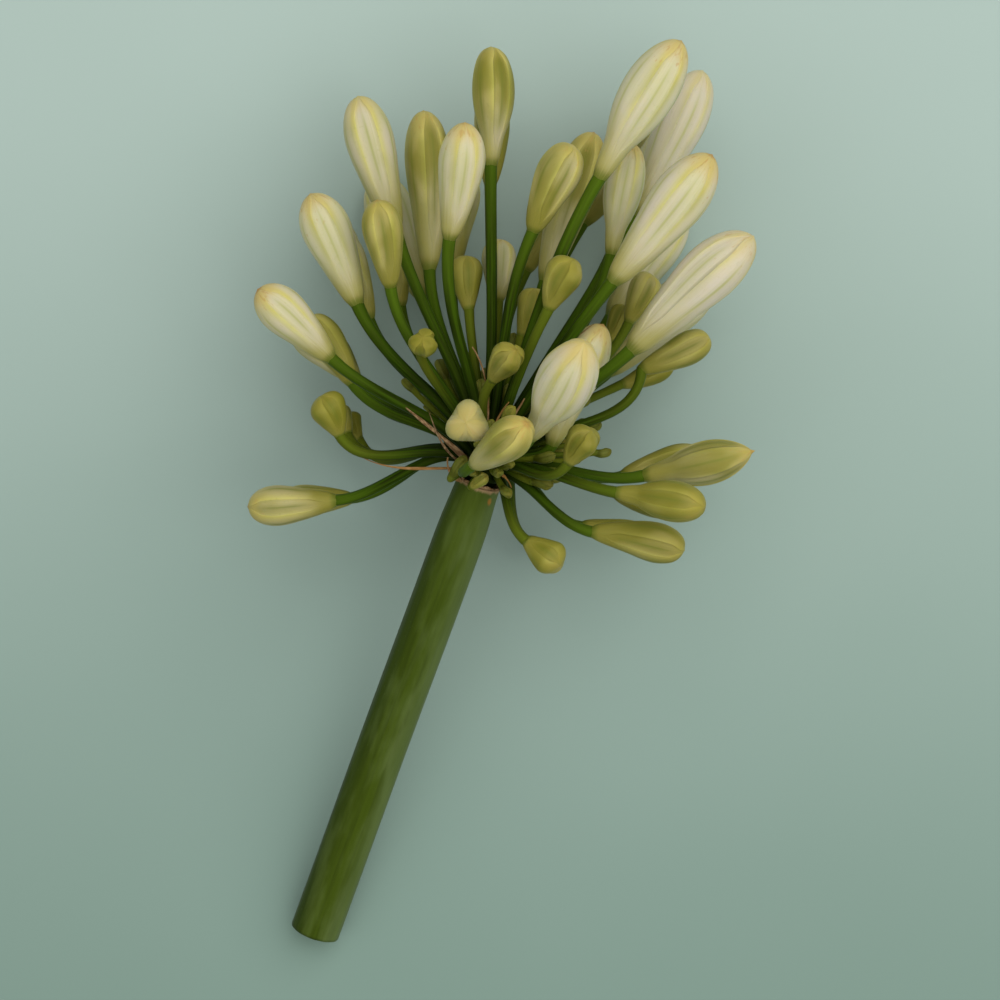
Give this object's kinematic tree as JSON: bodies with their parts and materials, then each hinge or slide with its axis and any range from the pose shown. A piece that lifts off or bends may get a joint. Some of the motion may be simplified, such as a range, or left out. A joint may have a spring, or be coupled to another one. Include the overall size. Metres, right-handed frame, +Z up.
{
  "type": "agapanthus flower head",
  "caption": "Agapanthus flower head in bud, cut with a short length of stalk and lying on its side.",
  "frame": {"origin": "centre of the bounding box in X and Y, on the surface that the flower lies on", "axes": "+Z up from the surface, +Y from the stalk's cut end towards the buds, +X to the right seen from above"},
  "size_m": [0.1198, 0.2162, 0.1024],
  "materials": {
    "stalk": "fresh green plant stalk, satin, with a faint bloom",
    "buds": "cream-white waxy petals with yellow-green margins, on dark green pedicels",
    "dry_paper": "dry papery plant remains, matt"
  },
  "bodies": {
    "root": {"scape": "stalk", "umbel": "buds", "spathe_remains": "dry_paper"}
  },
  "joints": []
}
